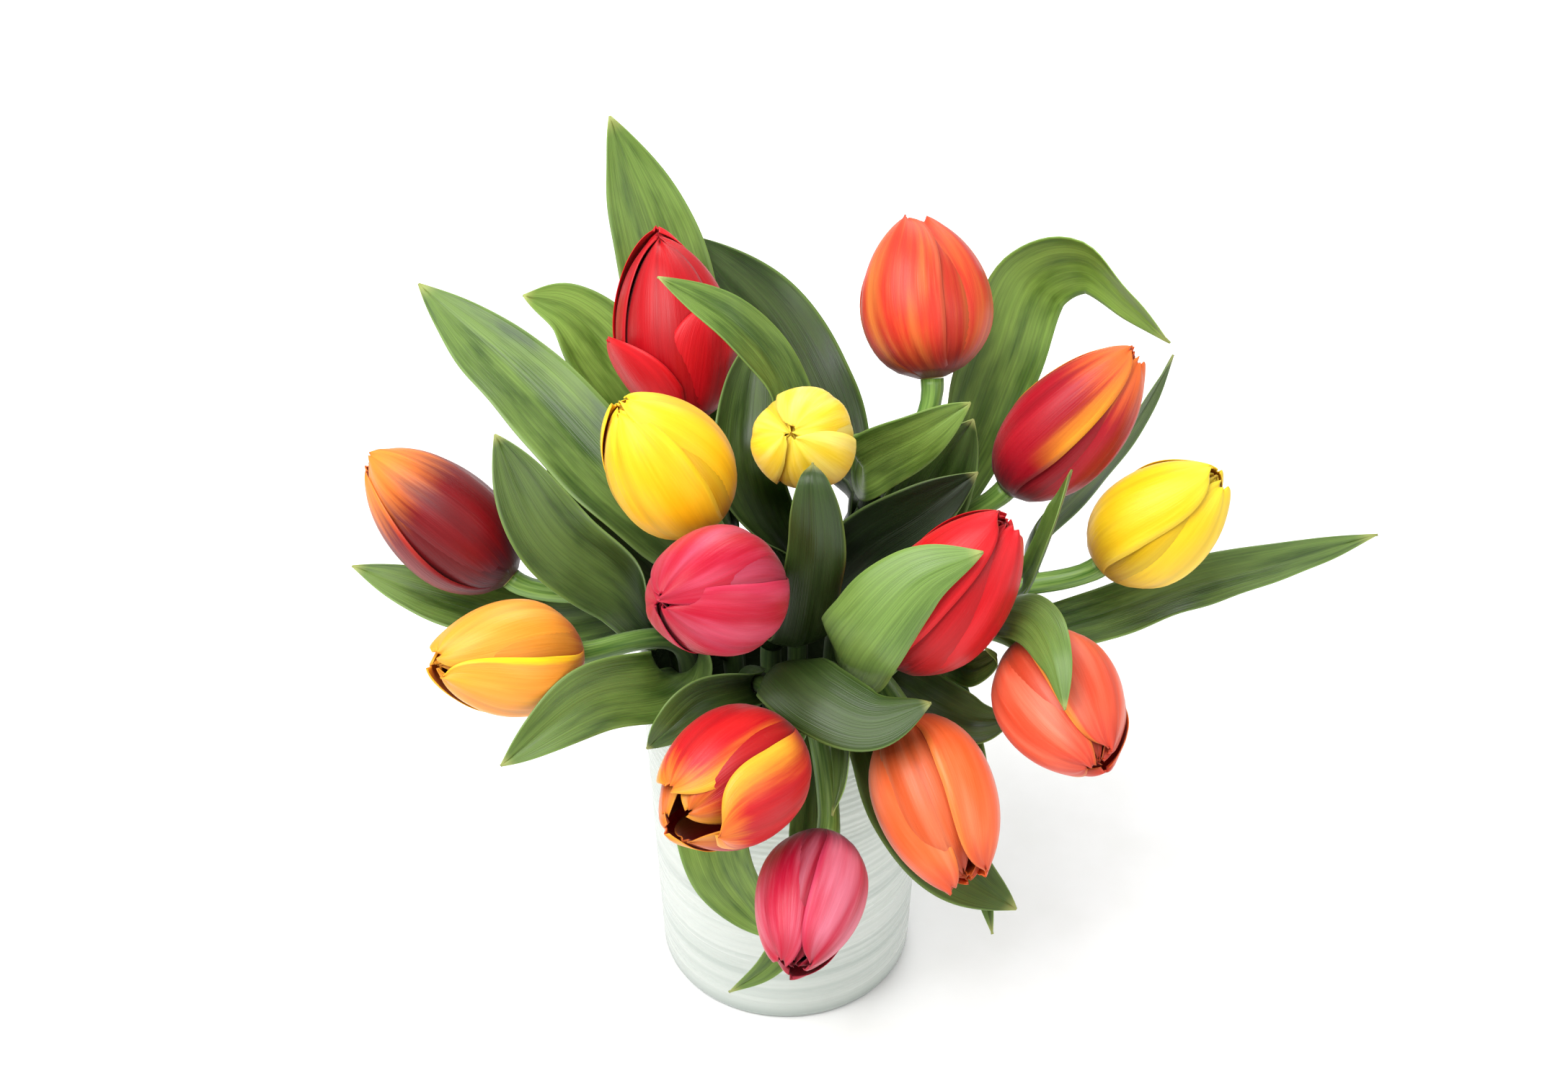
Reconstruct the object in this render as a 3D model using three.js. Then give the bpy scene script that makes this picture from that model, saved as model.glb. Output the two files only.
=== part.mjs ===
// Fourteen cut tulips standing in a tapered, frosted-glass vase.
//
// Frame: millimetres, +Z up, +X to the right, +Y to the back. The origin is the centre of the vase's
// foot, on the surface it stands on. Headings are degrees anticlockwise from +X, seen from above;
// tilts are degrees from upright.
//
// The stems stand on the vase's floor, spread to its mouth and bend over to their blooms. Each leaf
// clasps its stem at its node and grows out along its midrib.
import * as THREE from "three";
import { LoftGeometry } from "three/addons/geometries/LoftGeometry.js";

// ---- Driving dimensions, in mm ----

const VASE_HEIGHT = 150;
const FOOT_RADIUS = 43; // flat ring that touches the table
const HEEL_RADIUS = 45.5; // outside of the wall just above the foot
const HEEL_HEIGHT = 4;
const MOUTH_RADIUS = 51; // outside of the wall at the rim
const WALL = 3.5;
const FLOOR = 9;
const FLOOR_FILLET = 5; // inside corner between floor and wall

const STEM_RADIUS = 3.5;
const FOOT_CLEARANCE = 0.6; // cut end of a stem to the vase's floor, along the stem's axis
const APPROACH = 0.28; // length of a stem's last stretch along its bloom's axis, as a share of its bend
const JOIN_GAP = 0.3; // stem to bloom, and stem to the leaf that clasps it

const LEAF_THICKNESS = 1.2;
const CLASP_CLEARANCE = 0.6; // further room inside a clasp, where the stem bends
const CLASP_ANGLE = 190; // how far round the stem a leaf's base reaches, in degrees
const SHEATH_LENGTH = 9; // how far a leaf follows its stem before it leaves it
const OPENING_LENGTH = 22; // how far beyond that its blade takes to open

const STEM_SIDES = 8;
const BEND_STEPS = 10;
const BLOOM_SIDES = 15;
const BLOOM_STEPS = 8;
const LEAF_STEPS = 12;
const LEAF_STRIPS = 4; // strips across a leaf
const VASE_SIDES = 40;

// ---- Colours ----

const COLOURS = {
  glass: 0xdfe5de,
  stem: 0x5f8a3c,
  leaf: 0x3f6b2c,
  red: 0xc9101c,
  yellow: 0xf2c81e,
  coral: 0xe8603a,
  orange: 0xf07a3c,
  pink: 0xd92b52,
  apricot: 0xf0a040,
  flame: 0xb01a1c,
};

// ---- The tulips ----
// foot: where the stem stands on the vase's floor, as [distance in from the wall's inside, heading].
// mouth: where it passes the vase's mouth, the same way.
// rise: how far the stem runs on straight above the mouth before it bends.
// bloom: the bloom's lowest point [x, y, z] from where its stem passes the mouth.
// tilt and faces: the way the bloom's axis points.
// length and radius: the bloom's size; opening: the radius of its mouth as a share of its widest.

const TULIPS = [
  { name: "red_upper", colour: "red", foot: [18, 122], mouth: [9.5, 122], rise: 26,
    bloom: [-12.9, 9.8, 55], tilt: 30, faces: 108, length: 66, radius: 21, opening: 0.35 },
  { name: "yellow_upper", colour: "yellow", foot: [32, 190], mouth: [27.5, 200], rise: 30,
    bloom: [-6.2, -17.2, 65], tilt: 31, faces: 176, length: 53, radius: 20, opening: 0.16 },
  { name: "yellow_small", colour: "yellow", foot: [32, 70], mouth: [35.5, 70], rise: 40,
    bloom: [4.9, -21.3, 85], tilt: 48, faces: -105, length: 40, radius: 16, opening: 0.3 },
  { name: "coral_top", colour: "coral", foot: [18, 56], mouth: [9.5, 56], rise: 30,
    bloom: [27.8, 9.5, 74], tilt: 38, faces: 100, length: 54, radius: 22, opening: 0.18 },
  { name: "flame_right", colour: "flame", foot: [16, 26], mouth: [9.5, 26], rise: 26,
    bloom: [39.8, 0.3, 46], tilt: 38, faces: 8, length: 66, radius: 18, opening: 0.2 },
  { name: "yellow_right", colour: "yellow", foot: [16, 0], mouth: [9.5, 0], rise: 22,
    bloom: [68, 1, 26], tilt: 41, faces: -4, length: 54, radius: 19, opening: 0.25 },
  { name: "red_front", colour: "red", foot: [30, -30], mouth: [27.5, -36], rise: 30,
    bloom: [16.8, -48.2, 37], tilt: 37, faces: 16, length: 62, radius: 19, opening: 0.3 },
  { name: "coral_right", colour: "coral", foot: [16, -28], mouth: [9.5, -28], rise: 22,
    bloom: [44.4, -29.2, 30], tilt: 90, faces: -70, length: 56, radius: 20, opening: 0.35 },
  { name: "orange_front", colour: "orange", foot: [16, -56], mouth: [10.5, -56], rise: 20,
    bloom: [17.3, -33.3, 16], tilt: 117, faces: -68, length: 58, radius: 19, opening: 0.3 },
  { name: "flame_open", colour: "flame", foot: [16, -112], mouth: [10.5, -112], rise: 18,
    bloom: [14.9, -45.7, 22], tilt: 88, faces: -132, length: 54, radius: 21, opening: 0.6 },
  { name: "pink_low", colour: "pink", foot: [16, -84], mouth: [12.5, -84], rise: 30,
    bloom: [9.3, -55.2, -12], tilt: 100, faces: -103, length: 50, radius: 17, opening: 0.35 },
  { name: "pink_centre", colour: "pink", foot: [30, -100], mouth: [28.5, -106], rise: 24,
    bloom: [-1.8, -32.7, 61], tilt: 64, faces: -132, length: 52, radius: 20, opening: 0.3 },
  { name: "apricot_left", colour: "apricot", foot: [16, -150], mouth: [9.5, -150], rise: 22,
    bloom: [-36.1, -21, 22], tilt: 68, faces: -146, length: 54, radius: 18.5, opening: 0.22 },
  { name: "flame_left", colour: "flame", foot: [16, 178], mouth: [9.5, 178], rise: 22,
    bloom: [-55, -0.3, 20], tilt: 54, faces: 157, length: 62, radius: 19, opening: 0.22 },
];

// ---- The leaves ----
// node: how far up the stem the leaf's base is, measured from the vase's mouth.
// midrib: points [x, y, z], from where the stem passes the mouth, that the midrib runs through after
// it leaves the stem.
// width: the blade's widest. cup: how far it curls across its width at its middle, in degrees.
// faces: the tilt and heading that the blade's inner side turns to once it is clear of the stem.

const LEAVES = [
  { stem: "red_upper", node: 12, midrib: [[-17.9, 45.8, 56], [-23.9, 65.8, 84], [-40.9, 88.8, 128]],
    width: 36, faces: [60, -70], cup: 60 },
  { stem: "red_upper", node: 26, midrib: [[-37.9, 31.8, 62], [-54.9, 41.8, 78], [-69.9, 40.8, 86]],
    width: 34, faces: [60, -50], cup: 50 },
  { stem: "coral_top", node: 14, midrib: [[-2.2, 18.5, 24], [-12.2, 42.5, 41], [-27.2, 62.5, 61],
      [-55.2, 78.5, 86]],
    width: 34, faces: [50, -65], cup: 70 },
  { stem: "yellow_upper", node: 20, midrib: [[-36.2, 13.8, 55], [-66.2, 39.8, 75], [-106.2, 76.8, 93]],
    width: 32, faces: [50, -60], cup: 50 },
  { stem: "yellow_upper", node: -6, midrib: [[-28.2, 9.8, 24], [-45.2, 21.8, 37], [-63.2, 36.8, 48]],
    width: 20, faces: [50, -60], cup: 50 },
  { stem: "apricot_left", node: 12, midrib: [[-21.1, 3, 28], [-44.1, 11, 46], [-63.1, 32, 72]],
    width: 27, faces: [55, -80], cup: 50 },
  { stem: "flame_left", node: -9, midrib: [[-16, -1.3, 5], [-43, 1.7, -1], [-77, 5.7, 5], [-111, 14.7, 13]],
    width: 24, faces: [25, -90], cup: 60 },
  { stem: "apricot_left", node: -9, midrib: [[-8.1, -32, 18], [-29.1, -47, 26], [-57.1, -67, 16]],
    width: 24, faces: [45, -90], cup: 50 },
  { stem: "flame_open", node: 11, midrib: [[-14.1, -25.7, 19], [-23.1, -32.7, 15], [-31.1, -34.7, 7]],
    width: 16, faces: [60, -90], cup: 60 },
  { stem: "flame_open", node: 27, midrib: [[10.9, -25.7, 35], [23.9, -42.7, 37], [39.9, -51.7, 36],
      [58.9, -49.7, 41]],
    width: 25, faces: [145, 90], cup: 60 },
  { stem: "flame_open", node: -9, midrib: [[-5.1, -17.7, 5], [-11.1, -39.7, -12], [-7.1, -49.7, -33],
      [1.9, -51.7, -50], [12.9, -52.7, -64]],
    width: 24, faces: [70, -90], cup: 50 },
  { stem: "pink_centre", node: 12, midrib: [[9.2, -27.7, 32], [13.2, -35.7, 62], [14.2, -39.7, 91],
      [13.2, -35.7, 106], [13.2, -28.7, 106]],
    width: 19, faces: [130, 90], cup: 60 },
  { stem: "yellow_small", node: 10, midrib: [[-12.1, 2.7, 38], [-17.1, 2.7, 61], [-16.1, 20.7, 76],
      [-12.1, 41.7, 87]],
    width: 24, faces: [60, -90], cup: 120 },
  { stem: "yellow_small", node: 44, midrib: [[-0.1, 0.7, 72], [-8.1, 4.7, 96], [-22.1, 5.7, 115],
      [-45.1, 9.7, 129]],
    width: 20, faces: [80, -30], cup: 60 },
  { stem: "yellow_small", node: -2, midrib: [[10.9, -8.3, 17], [22.9, -11.3, 35], [40.9, -11.3, 50],
      [58.9, -7.3, 63]],
    width: 24, faces: [60, -90], cup: 50 },
  { stem: "coral_top", node: 44, midrib: [[3.8, -18.5, 58], [9.8, -23.5, 67], [21.8, -26.5, 77],
      [38.8, -21.5, 87]],
    width: 23, faces: [60, -70], cup: 40 },
  { stem: "flame_right", node: 18, midrib: [[26.8, 29.3, 40], [38.8, 49.3, 64], [49.8, 63.3, 88],
      [66.8, 59.3, 97], [81.8, 45.3, 90], [94.8, 33.3, 82]],
    width: 34, faces: [65, -60], cup: 50 },
  { stem: "yellow_right", node: 40, midrib: [[46, 24, 18], [69, 45, 30], [84, 56, 46], [96, 67, 65]],
    width: 16, faces: [90, -30], cup: 60 },
  { stem: "red_front", node: 22, midrib: [[1.8, -50.2, 38], [5.8, -62.2, 58], [23.8, -58.2, 80],
      [43.8, -54.2, 87]],
    width: 30, faces: [120, 70], cup: 70 },
  { stem: "yellow_right", node: 24, midrib: [[39, -23, 34], [45, -24, 53], [50, -19, 69], [54, -6, 72]],
    width: 18, faces: [90, 180], cup: 90 },
  { stem: "yellow_right", node: -9, midrib: [[9, -12, 5], [24, -13, 7], [42, -9, 3], [68, -1, 4],
      [101, 12, 8], [134, 20, 12], [166, 27, 18]],
    width: 20, faces: [25, -90], cup: 50 },
  { stem: "coral_right", node: 37, midrib: [[32.4, -22.2, 40], [43.4, -44.2, 56], [48.4, -65.2, 59],
      [51.4, -79.2, 50]],
    width: 17, faces: [130, 90], cup: 60 },
  { stem: "coral_right", node: 15, midrib: [[21.4, -27.2, 23], [26.4, -39.2, 31], [32.4, -42.2, 39],
      [28.4, -45.2, 45]],
    width: 12, faces: [60, -90], cup: 60 },
  { stem: "orange_front", node: -9, midrib: [[7.3, -15.3, 7], [13.3, -26.3, 0], [21.3, -39.3, -16],
      [35.3, -52.3, -33], [54.3, -62.3, -42]],
    width: 32, faces: [60, -90], cup: 55 },
  { stem: "coral_right", node: -9, midrib: [[15.4, -9.2, 6], [25.4, -30.2, -10], [29.4, -52.2, -38],
      [34.4, -72.2, -57]],
    width: 12, faces: [60, -90], cup: 60 },
  { stem: "pink_low", node: -17, midrib: [[1.3, -8.2, -1], [3.3, -18.2, 4], [4.3, -27.2, -4],
      [4.3, -43.2, -19], [2.3, -60.2, -36], [-8.7, -69.2, -56], [-22.7, -69.2, -70]],
    width: 14, faces: [60, -90], cup: 60 },
  { stem: "orange_front", node: 9, midrib: [[27.3, -20.3, 10], [41.3, -23.3, 5], [53.3, -25.3, 8]],
    width: 20, faces: [50, -90], cup: 50 },
  { stem: "coral_top", node: 27, midrib: [[19.8, -16.5, 30], [29.8, -16.5, 53], [40.8, -10.5, 72]],
    width: 28, faces: [55, -90], cup: 50 },
  { stem: "pink_low", node: 0, midrib: [[10.3, -7.2, 13], [12.3, -23.2, 22], [14.3, -41.2, 19],
      [13.3, -55.2, 12], [10.3, -63.2, 6]],
    width: 13, faces: [60, -160], cup: 60 },
];

// ---- Shapes ----

const offset = ([x, y, z]) => new THREE.Vector3(x, y, z);
const radians = THREE.MathUtils.degToRad;
const mix = THREE.MathUtils.lerp;
const ease = (t) => THREE.MathUtils.smoothstep(t, 0, 1);

/** A point at a radius and heading from the vase's axis, at height z. */
function around([radius, heading], z) {
  const angle = radians(heading);
  return new THREE.Vector3(radius * Math.cos(angle), radius * Math.sin(angle), z);
}

/** The unit vector that leans by tilt towards a heading. */
function direction(tilt, heading) {
  return around([Math.sin(radians(tilt)), heading], Math.cos(radians(tilt)));
}

/** The vase, turned about +Z: a tapered wall with a rounded rim on a thick floor. */
function vaseGeometry() {
  const outline = new THREE.Path();
  const share = (z) => (z - HEEL_HEIGHT) / (VASE_HEIGHT - HEEL_HEIGHT);
  const inner = (z) => mix(HEEL_RADIUS, MOUTH_RADIUS, share(z)) - WALL;
  outline.moveTo(0, 0);
  outline.lineTo(FOOT_RADIUS, 0);
  outline.quadraticCurveTo(HEEL_RADIUS, 0, HEEL_RADIUS, HEEL_HEIGHT);
  outline.lineTo(MOUTH_RADIUS, VASE_HEIGHT - WALL / 2);
  outline.quadraticCurveTo(MOUTH_RADIUS, VASE_HEIGHT, MOUTH_RADIUS - WALL / 2, VASE_HEIGHT);
  outline.quadraticCurveTo(MOUTH_RADIUS - WALL, VASE_HEIGHT, MOUTH_RADIUS - WALL, VASE_HEIGHT - WALL / 2);
  outline.lineTo(inner(FLOOR + FLOOR_FILLET), FLOOR + FLOOR_FILLET);
  outline.quadraticCurveTo(inner(FLOOR), FLOOR, inner(FLOOR) - FLOOR_FILLET, FLOOR);
  outline.lineTo(0, FLOOR);
  const curveSteps = 2;
  return new THREE.LatheGeometry(outline.getPoints(curveSteps), VASE_SIDES).rotateX(Math.PI / 2);
}

/** Where a stem passes the vase's mouth. */
function mouthPoint({ mouth: [inset, heading] }) {
  return around([MOUTH_RADIUS - WALL - inset, heading], VASE_HEIGHT);
}

/** A bloom's lowest point. */
const bloomPoint = (tulip) => mouthPoint(tulip).add(offset(tulip.bloom));

/** The stem's centre line, from the cut end on the vase's floor to the bloom. */
function stemPath(tulip) {
  const [inset, heading] = tulip.foot;
  const foot = around([HEEL_RADIUS - WALL - inset, heading], FLOOR);
  const mouth = mouthPoint(tulip);
  const lean = mouth.clone().sub(foot).normalize();
  const tilt = lean.angleTo(new THREE.Vector3(0, 0, 1));
  foot.addScaledVector(lean, FOOT_CLEARANCE + STEM_RADIUS * Math.tan(tilt));
  const top = bloomPoint(tulip);
  const axis = direction(tulip.tilt, tulip.faces);
  const reach = mouth.distanceTo(top) * APPROACH;
  const path = new THREE.CurvePath();
  path.add(new THREE.LineCurve3(foot, mouth));
  path.add(new THREE.CubicBezierCurve3(
    mouth,
    mouth.clone().addScaledVector(lean, tulip.rise),
    top.clone().addScaledVector(axis, -reach),
    top,
  ));
  return path;
}

/** A round stem along its path: one straight stretch, then the bend in short steps. */
function stemGeometry(path) {
  const [straight, bend] = path.curves;
  const side = new THREE.Vector3(1, 0, 0);
  const ring = (centre, along) => {
    side.projectOnPlane(along).normalize();
    const across = along.clone().cross(side);
    return Array.from({ length: STEM_SIDES }, (_, corner) => {
      const angle = (2 * Math.PI * corner) / STEM_SIDES;
      return centre.clone()
        .addScaledVector(side, STEM_RADIUS * Math.cos(angle))
        .addScaledVector(across, STEM_RADIUS * Math.sin(angle));
    });
  };
  const sections = [ring(straight.v1, straight.getTangent(0))];
  for (let step = 0; step <= BEND_STEPS; step++) {
    sections.push(ring(bend.getPointAt(step / BEND_STEPS), bend.getTangentAt(step / BEND_STEPS)));
  }
  return new LoftGeometry(sections, { capStart: true, capEnd: true });
}

/** A bloom's radius at t of its length, as a share of its widest. */
function bloomShape(t, base, opening) {
  const belly = 0.42;
  return t < belly
    ? Math.sqrt(1 - (1 - base * base) * ((belly - t) / belly) ** 2)
    : Math.sqrt(1 - (1 - opening * opening) * ((t - belly) / (1 - belly)) ** 2.2);
}

/** A bloom: six petals closed into one body with three shoulders, pointing along +Z from the origin. */
function bloomGeometry({ length, radius, opening }) {
  const shoulder = 0.05;
  const base = (STEM_RADIUS + 1) / radius;
  const sections = [];
  for (let step = 0; step <= BLOOM_STEPS; step++) {
    const t = step / BLOOM_STEPS;
    const ring = [];
    for (let side = 0; side < BLOOM_SIDES; side++) {
      const angle = (2 * Math.PI * side) / BLOOM_SIDES;
      const r = radius * bloomShape(t, base, opening) * (1 + shoulder * ease(t) * Math.cos(3 * angle));
      ring.push(new THREE.Vector3(r * Math.cos(angle), r * Math.sin(angle), t * length));
    }
    sections.push(ring);
  }
  return new LoftGeometry(sections, { capStart: true, capEnd: true });
}

/** The blade's width at s of its length, as a share of its widest. */
function bladeShape(s, base) {
  const widest = 0.45;
  const tip = 0.04;
  return s < widest
    ? mix(base, 1, Math.sin((s / widest) * Math.PI / 2))
    : mix(tip, 1, 1 - ((s - widest) / (1 - widest)) ** 1.9);
}

/** The leaf's midrib: up its own side of the stem from the node, then through its own points. */
function leafMidrib(leaf, mouth, path, claspRadius) {
  const length = path.getLength();
  const node = (path.getCurveLengths()[0] + leaf.node) / length;
  const points = leaf.midrib.map((place) => mouth.clone().add(offset(place)));
  const first = points[0];
  const nearest = path
    .getSpacedPoints(60)
    .reduce((a, b) => (first.distanceTo(b) < first.distanceTo(a) ? b : a));
  const side = first.clone().sub(nearest);
  const besideStem = (at) => {
    const along = path.getTangentAt(at);
    side.projectOnPlane(along).normalize();
    return path.getPointAt(at).addScaledVector(side, claspRadius);
  };
  const sheath = [0, 0.5, 1].map((share) =>
    besideStem(Math.min(1, node + (share * SHEATH_LENGTH) / length)),
  );
  const curve = new THREE.CatmullRomCurve3([...sheath, ...points], false, "centripetal");
  return { curve, face: side.clone().negate() };
}

/** A leaf: a thin blade, curled round its stem at the base and cupped along its length. */
function leafGeometry(leaf, mouth, path) {
  const claspRadius = STEM_RADIUS + JOIN_GAP + LEAF_THICKNESS / 2 + CLASP_CLEARANCE;
  const claspWidth = claspRadius * radians(CLASP_ANGLE);
  const { curve, face } = leafMidrib(leaf, mouth, path, claspRadius);
  const length = curve.getLength();
  const sheath = SHEATH_LENGTH / length;
  const stations = [];
  for (let step = 0; step <= LEAF_STEPS; step++) {
    const s = (step / LEAF_STEPS) ** 1.5; // closer together at the base, where the blade changes most
    const along = curve.getTangentAt(s);
    face.projectOnPlane(along).normalize();
    stations.push({ s, along, face: face.clone(), centre: curve.getPointAt(s) });
  }
  const turned = stations.find(({ s }) => s >= 0.5);
  const wanted = direction(...leaf.faces).projectOnPlane(turned.along);
  const turn = Math.atan2(turned.along.dot(turned.face.clone().cross(wanted)), turned.face.dot(wanted));

  const sections = stations.map(({ s, along, face, centre }) => {
    const free = ease((s - sheath) / (0.5 - sheath));
    const open = ease((s * length - SHEATH_LENGTH) / OPENING_LENGTH);
    const inward = face.clone().applyAxisAngle(along, turn * free);
    const across = inward.clone().cross(along);
    const width = leaf.width * bladeShape(s, claspWidth / leaf.width);
    const curl = radians(mix(CLASP_ANGLE, leaf.cup, open) * (1 - 0.5 * s * s));
    const bend = width / curl;
    const hub = centre.clone().addScaledVector(inward, bend);
    const outside = [];
    const inside = [];
    for (let strip = 0; strip <= LEAF_STRIPS; strip++) {
      const share = (2 * strip) / LEAF_STRIPS - 1;
      const angle = (share * curl) / 2;
      const spoke = across.clone().multiplyScalar(Math.sin(angle)).addScaledVector(inward, -Math.cos(angle));
      const half = (LEAF_THICKNESS / 2) * (1 - 0.5 * share * share);
      outside.push(hub.clone().addScaledVector(spoke, bend + half));
      inside.push(hub.clone().addScaledVector(spoke, bend - half));
    }
    return [...outside, ...inside.reverse()];
  });
  return new LoftGeometry(sections, { capStart: true, capEnd: true });
}

// ---- The assembly ----

const material = (colour, roughness) =>
  new THREE.MeshStandardMaterial({ color: COLOURS[colour], roughness, metalness: 0 });

function mesh(name, geometry, colour, roughness) {
  const made = new THREE.Mesh(geometry, material(colour, roughness));
  made.name = name;
  return made;
}

/** One tulip: its stem, its bloom and its leaves. */
function tulipGroup(tulip) {
  const group = new THREE.Group();
  const path = stemPath(tulip);
  group.add(mesh(`${tulip.name}_stem`, stemGeometry(path), "stem", 0.5));

  const bloom = mesh(`${tulip.name}_bloom`, bloomGeometry(tulip), tulip.colour, 0.45);
  const axis = direction(tulip.tilt, tulip.faces);
  bloom.position.copy(bloomPoint(tulip)).addScaledVector(axis, JOIN_GAP);
  bloom.quaternion.setFromUnitVectors(new THREE.Vector3(0, 0, 1), axis);
  group.add(bloom);

  LEAVES.filter((leaf) => leaf.stem === tulip.name).forEach((leaf, index) => {
    const geometry = leafGeometry(leaf, mouthPoint(tulip), path);
    group.add(mesh(`${tulip.name}_leaf_${index + 1}`, geometry, "leaf", 0.5));
  });
  return group;
}

const bouquet = new THREE.Group();
bouquet.add(mesh("vase", vaseGeometry(), "glass", 0.3));
TULIPS.forEach((tulip) => bouquet.add(tulipGroup(tulip)));

export default bouquet;
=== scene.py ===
"""Fourteen cut tulips in a tapered vase of milky glass: the looks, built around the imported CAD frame.

Working lengths are millimetres in the frame's axes, and each mesh is scaled to metres as it is made.
Every piece stands for one CAD node. Leaves and stems are laid out from the same points as their CAD
solids, and each bloom is separate petals round a pistil. Blades and petals are fuller than the CAD
solids and stand up to 5.1 mm outside them, and stalks up to 1.6 mm.

Each mesh carries two attributes that its material reads. grain holds a place on the surface: from -1
to 1 across it, along it, and a number of its own. side holds 1 on the inside of a sheet, the share
along it, and its layer: 0 for outer petals, 1 for inner ones, 2 for the pistil.
"""
import math

import bpy
import numpy as np
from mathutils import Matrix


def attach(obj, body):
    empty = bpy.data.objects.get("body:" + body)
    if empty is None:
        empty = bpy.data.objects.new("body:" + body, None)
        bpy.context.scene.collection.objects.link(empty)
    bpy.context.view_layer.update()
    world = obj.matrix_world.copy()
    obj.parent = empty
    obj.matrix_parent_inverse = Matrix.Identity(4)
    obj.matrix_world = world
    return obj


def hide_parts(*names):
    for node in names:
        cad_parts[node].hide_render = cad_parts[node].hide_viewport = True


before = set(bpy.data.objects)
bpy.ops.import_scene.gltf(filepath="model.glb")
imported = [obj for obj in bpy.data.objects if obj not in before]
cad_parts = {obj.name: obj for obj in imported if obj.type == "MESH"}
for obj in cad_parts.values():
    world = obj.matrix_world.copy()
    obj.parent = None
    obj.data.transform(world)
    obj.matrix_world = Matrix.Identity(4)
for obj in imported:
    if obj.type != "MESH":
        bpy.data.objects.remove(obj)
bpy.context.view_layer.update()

MM = 0.001

# ---- The vase and stems, as in the CAD ----

VASE_HEIGHT = 150.0
FOOT_RADIUS = 43.0
HEEL_RADIUS = 45.5
HEEL_HEIGHT = 4.0
MOUTH_RADIUS = 51.0
WALL_SLOPE = (MOUTH_RADIUS - HEEL_RADIUS) / (VASE_HEIGHT - HEEL_HEIGHT)
WALL = 3.5
FLOOR = 9.0
FLOOR_FILLET = 5.0
STEM_RADIUS = 3.5
FOOT_CLEARANCE = 0.6
APPROACH = 0.28
JOIN_GAP = 0.3
LEAF_THICKNESS = 1.2
CLASP_CLEARANCE = 0.6
CLASP_ANGLE = 190.0
SHEATH_LENGTH = 9.0
OPENING_LENGTH = 22.0

# ---- The tulips ----
# foot, mouth, rise, bloom, tilt, faces, length, radius and opening are those of the CAD.
# turn: where the first outer petal is, in degrees round the bloom's axis from the side towards the
# front.
# gape: how far the petals' tips stay apart, as a share of the opening.
# tuck: how far each petal's edges lie over and under its neighbours', as a share of the usual.
# open: whether the petals end on the bloom's own outline, instead of closing at their tips.
# petals: (layer, heading from turn, reach, spread, flare) of each petal, where the six aren't alike.
# reach is a petal's length as a share of the bloom's, spread is half its width at its belly in
# degrees, and flare is how far its tip leans out.

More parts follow.
